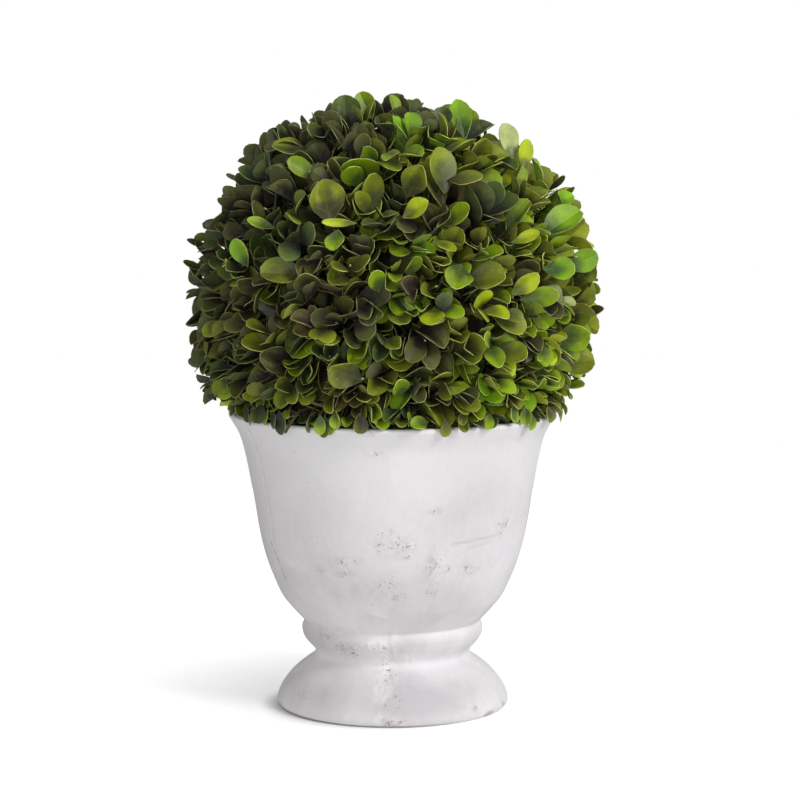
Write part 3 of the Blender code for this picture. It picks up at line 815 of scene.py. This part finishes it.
class Openings:
    # the leaves that stand out, to keep what lies further out from hiding them
    def __init__(self):
        self.ways, self.depths, self.spans = [], [], []

    def add(self, places):
        shown = places[blank["along"] > 0.45]
        away = np.linalg.norm(shown - shown.mean(axis=0), axis=1).max()
        self.keepFree(shown.mean(axis=0), 0.8 * away)

    def keepFree(self, middle, away):
        line, depth = fromCentre(middle)
        self.ways.append(line / depth)
        self.depths.append(depth)
        self.spans.append(cos(away / depth))

    def hiddenBy(self, places):
        lines, out = fromCentre(places)
        facing = (lines @ np.array(self.ways).T) / out[:, None]
        over = out[:, None] > np.array(self.depths) - 1.5 * mm
        return bool((over & (facing > np.array(self.spans))).any())


def leafOn(way, axis, root, length, rng):
    # a leaf that leaves its twig along way, with its upper side turned to the twig's tip and to the sky
    facing = axis + Vector((0, 0, crown["skyward"]))
    normal = (facing - way * facing.dot(way)).normalized()
    normal = Matrix.Rotation(rng.uniform(-0.4, 0.4), 3, way) @ normal
    side = normal.cross(way)
    leaf = {name: rng.uniform(*span) for name, span in leafLook["bends"].items()}
    leaf.update(root=np.array(root), turn=np.array([[way[i], side[i], normal[i]] for i in range(3)]),
        length=length, width=length * leaf["slimness"], notch=rng.choice(leafLook["notches"]),
        phase=rng.uniform(0, 6))
    return leaf


def sprayLines(rng):
    # the twigs: each main sprig forks into finer sprays that fan out to the ball's surface
    lines = []
    centre = crown["centre"]
    for way in mainDirections():
        side = way.orthogonal().normalized()
        offset = rng.uniform(0, tau)
        fans = [(0.0, 0.0)]
        for i in range(crown["forks"]):
            around = offset + tau * i / crown["forks"] + rng.uniform(-0.3, 0.3)
            fans.append((crown["forkSpread"] * rng.uniform(0.75, 1.2), around))
        for spread, around in fans:
            aim = Matrix.Rotation(around, 3, way) @ side
            out = (way * cos(spread) + aim * sin(spread)).normalized()
            tilt = crown["sprayTilt"] * rng.uniform(0.1, 1.0)
            lean = Matrix.Rotation(rng.uniform(0, tau), 3, out) @ out.orthogonal().normalized()
            axis = (out * cos(tilt) + lean * sin(tilt)).normalized()
            patch = crown["lengthPatches"] * noise.noise(out * 2.6 + Vector((4, 1, 7)))
            size = 1 + patch + 0.08 * out.x + 0.10 * out.z
            length = crown["leafLength"] * size * rng.uniform(0.8, 1.2)
            tip = centre + out * (reachToward(out) - length * rng.uniform(*crown["tipShort"]))
            lines.append((centre + way * crown["forkRadius"], tip, axis, length))
    for down, tipOut, count in crown["skirts"]:
        for i in range(count):
            around = tau * (i + rng.uniform(-0.35, 0.35)) / count
            flat = Vector((cos(around), sin(around), 0))
            slope = radians(90 - down + rng.uniform(-2, 2))
            out = flat * cos(slope) + Vector((0, 0, sin(slope)))
            droop = radians(rng.uniform(-30, 12))
            turned = Matrix.Rotation(rng.uniform(-0.5, 0.5), 3, "Z") @ flat
            axis = turned * cos(droop) + Vector((0, 0, sin(droop)))
            root = centre + out * crown["forkRadius"]
            length = crown["leafLength"] * rng.uniform(0.65, 1.0)
            swell = reachToward(out) - crown["reach"]
            lines.append((root, centre + out * (swell + (tipOut + rng.uniform(-4, 2)) * mm), axis, length))
    return lines


def fringeLeaves(rng):
    # single leaves that lie or hang over the urn's rim, each with a few tries at a place
    for count, radii, heights, droops, lengths in crown["fringes"]:
        for i in range(count):
            around = tau * (i + rng.uniform(-0.4, 0.4)) / count
            out = Vector((cos(around), sin(around), 0))
            droop = radians(rng.uniform(*droops))
            aim = Matrix.Rotation(rng.uniform(-0.9, 0.9), 3, "Z") @ out
            way = aim * cos(droop) - Vector((0, 0, sin(droop)))
            root = out * rng.uniform(*radii) * mm + Vector((0, 0, rng.uniform(*heights) * mm))
            roll = Matrix.Rotation(rng.uniform(-0.8, 0.8), 3, way)
            facing = roll @ (Vector((0, 0, 1)) + out * rng.uniform(0, 0.8)).normalized()
            yield way, facing, root, rng.uniform(*lengths) * mm


def toneOf(way, rng):
    # deals a colour to a spray; the brighter ones are commoner to the upper right, as in the photograph
    names = list(leafTones)
    # painted light and shade: brighter tones go to the lit right, darker ones to the shaded left and the top
    side = way.x * (1 + 0.7 * way.z) - 0.25 * max(0, way.z)
    weights = [leafTones[n][3] * exp(leafTones[n][4] * side) for n in names]
    return rng.choices(names, weights)[0]


def singleLeaf(around, rise, clock, lean, length, width, reach, rng):
    # a leaf lying on the ball's surface, half turned to the camera, with its tip turned like a clock hand
    out, clock, lean = onBall(around, rise), radians(clock), radians(lean)
    facing = (out + Vector((0, -1, 0.11))).normalized()
    upward = (Vector((0, 0, 1)) - facing * facing.z).normalized()
    flat = upward * cos(clock) + upward.cross(facing) * sin(clock)
    way = flat * cos(lean) + facing * sin(lean)
    # near the ball's edge it stands further out, where the leaves before it would hide it
    radius = crown["featureRadius"] + crown["edgeRadius"] * (1 + out.y) ** 2
    radius = min(radius, reach - length * mm / 2 * way.dot(out))
    root = crown["centre"] + out * radius - way * length * mm / 2
    leaf = leafOn(way, facing, root, length * mm, rng)
    leaf["width"] = length * mm * width
    leaf["cup"] = rng.uniform(0.3, 0.6)
    leaf["curl"] = rng.uniform(-0.7, -0.2)
    return leaf


def growCrown():
    rng, singleRng = random.Random(crown["seed"]), random.Random(crown["singleSeed"])
    centre = crown["centre"]
    crowd, openings = Crowd(), Openings()
    leaves = {name: [] for name in leafTones}
    twigs, buds, sprays = [], [], []

    def keep(places, tone):
        crowd.add(places)
        leaves[tone].append(places)

    def fits(places):
        return hasRoom(places) and not openings.hiddenBy(places) and not crowd.crossed(places)

    def twigTo(root):
        root = Vector(root)
        twigs.append((centre + (root - centre) * 0.62, centre + (root - centre) * 0.9, root))

    for around, rise, clock, lean, length, width, tone in featureLeaves:
        leaf = singleLeaf(around, rise, clock, lean, length, width, crown["featureReach"], singleRng)
        twigTo(leaf["root"])
        places = leafPlaces(leaf)
        keep(places, tone)
        openings.add(places)
    stub = Vector(cutStub[2]) * mm
    openings.keepFree(np.array(centre + (stub - centre) * 0.93), crown["stubRoom"])
    for around, rise, clock, length, width in strayTips:
        lean, reach = crown["strayLean"], crown["strayReach"]
        leaf = singleLeaf(around, rise, clock, lean, length, width, reach, singleRng)
        twigTo(leaf["root"])
        keep(leafPlaces(leaf), "deepOlive")
    for way, axis, root, length in fringeLeaves(singleRng):
        for _ in range(crown["tries"]):
            leaf = leafOn(way, axis, root, length, singleRng)
            leaf["curl"] = singleRng.uniform(0.1, 0.7)
            places = leafPlaces(leaf)
            if fits(places):
                keep(places, toneOf((root - centre).normalized(), singleRng))
                twigTo(root)
                break
            root, length = root + Vector((0, 0, 0.5 * mm)), length * 0.96
    for root, tip, axis, length in sprayLines(rng):
        out = (tip - centre).normalized()
        last = tip - axis * leafPairs[-1][0] * mm
        if openings.hiddenBy(np.array([tip, tip + axis * 2 * mm])):
            continue
        twigs.append((root, root.lerp(last, 0.6), last.lerp(tip, 0.3), tip))
        if rng.random() < crown["budded"]:
            buds.append((tip, axis))
        openness = rng.uniform(*crown["openness"]) * np.interp(out.z, *crown["opensUp"])
        sprays.append((tip, axis, length, rng.uniform(0, pi), openness, toneOf(out, rng)))
    for row, (back, spread, share) in enumerate(leafPairs):
        for (tip, axis, length, turn, openness, tone), half in product(sprays, (0, 1)):
            if rng.random() < crown["missing"]:
                continue
            side = axis.orthogonal().normalized()
            size = length * share * rng.uniform(0.82, 1.12)
            for _ in range(crown["tries"]):
                around = turn + row * pi / 2 + half * pi + rng.uniform(-0.4, 0.4)
                tilt = radians(spread * openness + rng.uniform(-10, 12))
                radial = Matrix.Rotation(around, 3, axis) @ side
                way = axis * cos(tilt) + radial * sin(tilt)
                leaf = leafOn(way, axis, tip - axis * back * mm + radial * 0.35 * mm, size, rng)
                # the leaves of a closed spray are slimmer and more cupped
                leaf["width"] *= min(1.05, 0.78 + 0.27 * openness)
                leaf["cup"] += 0.5 * max(0, 1 - openness)
                places = leafPlaces(leaf)
                if fits(places):
                    keep(places, tone)
                    break
                size *= 0.97
    print("leaves:", {name: len(some) for name, some in leaves.items()}, "triangles each:", blankTriangles)
    return leaves, twigs, buds


def boxwoodLeaf(name, colour, roughness, veins, baseFade):
    # a leathery evergreen leaf: waxed above and matt below, purplish brown at its base under painted shade,
    # with faint veins
    material, shader, add, place = newMaterial(name, roughness, leafLook["ior"])
    red, green, blue, _ = linear(colour)
    dark = (red * 0.68, green * 0.66, blue * 0.7, 1.0)
    light = (min(1, red * 1.32), min(1, green * 1.3), blue * 1.15, 1.0)
    pale = (min(1, red * 1.7 + 0.02), min(1, green * 1.6 + 0.02), blue * 1.6 + 0.01, 1.0)
    # the dark base: a purplish brown, deepened as painted shade
    brownAndShade = (0.0105 + 0.07 * red + 0.35 * red**2, 0.0066 + 0.043 * green + 0.35 * green**2,
        0.0165 + 0.2 * blue, 1.0)
    shade = add("TexNoise", {"Vector": place, "Scale": 1 / 0.014, "Detail": 3})
    amount = add("MapRange", (shade, 0.3, 0.7))
    blade = add("Mix", {"Factor": amount, "A": dark, "B": light}, data_type="RGBA")
    along, across, _ = add("SeparateXYZ", (add("UVMap", uv_map="leaf"),)).outputs
    across = add("Math", (across, 0.5), "SUBTRACT")
    across = add("Math", (across,), "ABSOLUTE")
    # the dark base, brown with painted shade on it, fades towards the tip and the edges, sooner or later by a
    # noise of its own
    uneven = add("TexNoise", {"Vector": place, "Scale": 1 / 0.009, "Detail": 1})
    outward = add("Math", (across, 0.5, along), "MULTIPLY_ADD")
    outward = add("Math", (uneven, 0.9, outward), "MULTIPLY_ADD")
    fadeStart = leafLook["fadeStart"]
    foot = add("MapRange", (outward, fadeStart, fadeStart + baseFade, 0.98, 0.0),
        interpolation_type="SMOOTHSTEP")
    brownedAndShaded = add("Mix", {"Factor": foot, "A": blade, "B": brownAndShade}, data_type="RGBA")
    slant = add("Math", (across, -0.55, along), "MULTIPLY_ADD")
    saw = add("Math", (slant, 1 / 8), "PINGPONG")
    sideVeins = add("MapRange", (saw, 0.0, 0.035, 1.0, 0.0))
    midrib = add("MapRange", (across, 0.0, 0.045, 1.0, 0.0))
    lines = add("Math", (sideVeins, midrib), "MAXIMUM")
    amount = add("Math", (lines, veins), "MULTIPLY")
    veined = add("Mix", {"Factor": amount, "A": brownedAndShaded, "B": pale}, data_type="RGBA")
    bump = add("Bump", {"Height": lines, "Strength": 0.25, "Distance": -0.1 * mm})
    feed(shader, {"Base Color": veined, "Normal": bump})
    return material


def leafMargin(name, colour):
    # the thin, cartilage-like edge of a boxwood leaf, paler than the blade; part of that paleness is a
    # painted highlight of the lit edge
    material, shader, add, place = newMaterial(name, leafLook["marginRoughness"], leafLook["ior"])
    shade = add("TexNoise", {"Vector": place, "Scale": 1 / 0.006, "Detail": 2})
    amount = add("MapRange", (shade, 0.38, 0.66))
    pale = linear(colour)
    dull = tuple(c * 0.34 for c in pale[:3]) + (1.0,)
    mixed = add("Mix", {"Factor": amount, "A": dull, "B": pale}, data_type="RGBA")
    feed(shader, {"Base Color": mixed})
    return material


def dressCrown(piece):
    # each piece of the crown is a part of the one mass of foliage
    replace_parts(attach(piece, "root"), "foliage_ball")


def joinLeaves(name, leaves, materials):
    # many copies of the leaf as one mesh, each in its own bent shape
    mesh = bpy.data.meshes.new(name)
    starts = [i * len(blank["along"]) for i in range(len(leaves))]
    faces = [[start + corner for corner in face] for start in starts for face in blank["faces"]]
    mesh.from_pydata(np.concatenate(leaves), [], faces)
    mesh.polygons.foreach_set("material_index", np.tile(blank["side"], len(leaves)))
    uv = np.stack([blank["along"], (blank["across"] + 1) / 2], axis=1)[np.concatenate(blank["faces"])]
    mesh.uv_layers.new(name="leaf").uv.foreach_set("vector", np.tile(uv, (len(leaves), 1)).ravel())
    dressCrown(addMesh(name, mesh, materials, smoothAngle=38))


def makeTwigs(twigs):
    # thin tapered twigs, all in one curve that is then made a mesh
    curve = bpy.data.curves.new("twigs", "CURVE")
    curve.dimensions = "3D"
    curve.bevel_depth = 0.9 * mm
    curve.bevel_resolution = 0
    curve.use_fill_caps = True
    stub = [Vector(place) * mm for place in cutStub]
    for places in (*twigs, stub):
        line = curve.splines.new("POLY")
        line.points.add(len(places) - 1)
        for i, (point, place) in enumerate(zip(line.points, places)):
            point.co = (*place, 1)
            point.radius = 0.95 if places is stub else 1.0 - 0.55 * i / (len(places) - 1)
    drawn = addObject("twigCurve", curve)
    bpy.context.view_layer.update()
    mesh = bpy.data.meshes.new_from_object(drawn.evaluated_get(bpy.context.evaluated_depsgraph_get()))
    bpy.data.objects.remove(drawn)
    mesh.materials.clear()
    dressCrown(addMesh("twigs", mesh, [boxwoodBark("greenTwigBark", "2a2416", "574e30")], smoothAngle=60))


def makeBuds(buds):
    # the tiny bud at the tip of each spray, of pale, matt scales
    shape = bmesh.new()
    for tip, axis in buds:
        made = bmesh.ops.create_icosphere(shape, subdivisions=1, radius=0.7 * mm)["verts"]
        upright = axis.to_track_quat("Z", "Y").to_matrix().to_4x4()
        placed = Matrix.Translation(tip + axis * 0.8 * mm) @ upright @ Matrix.Diagonal((0.8, 0.8, 1.7, 1))
        bmesh.ops.transform(shape, matrix=placed, verts=made)
    scales, *_ = mottledMaterial("budScale", 0.6, 4 * mm, 2, "7f8a48", "cdd0a4")
    dressCrown(addPiece("buds", shape, [scales]))


def makeCore():
    # the tangle of old twigs and moss inside the ball, coloured nearly black green as painted shade, since it
    # gets no light
    shape = bmesh.new()
    bmesh.ops.create_icosphere(shape, subdivisions=6, radius=crown["coreRadius"])
    for vertex in shape.verts:
        way = vertex.co.normalized()
        vertex.co += way * crown["coreLumps"] * mm * (noise.noise(way * 9) + 0.5 * noise.noise(way * 30))
    bmesh.ops.translate(shape, vec=crown["centre"], verts=shape.verts)
    moss, *_ = mottledMaterial("mossCoreInPaintedShade", 0.95, 5 * mm, 5, "15150e", "2b2d17")
    dressCrown(addPiece("mossCoreInPaintedShade", shape, [moss]))


leaves, twigs, buds = growCrown()
mostLeaves = crown["mostTriangles"] // blankTriangles
for tone, (upper, underside, margin, _, _, baseFade) in leafTones.items():
    materials = []
    for side, colour in (("Upper", upper), ("Underside", underside)):
        roughness, veins, fade = leafLook[side]
        materials.append(boxwoodLeaf(tone + side, colour, roughness, veins, baseFade * fade))
    materials.append(leafMargin(tone + "Margin", margin))
    for start in range(0, len(leaves[tone]), mostLeaves):
        name = f"leaves{tone[0].upper()}{tone[1:]}{start // mostLeaves + 1}"
        joinLeaves(name, leaves[tone][start:start + mostLeaves], materials)
makeTwigs(twigs)
makeBuds(buds)
makeCore()
print("crown ready")
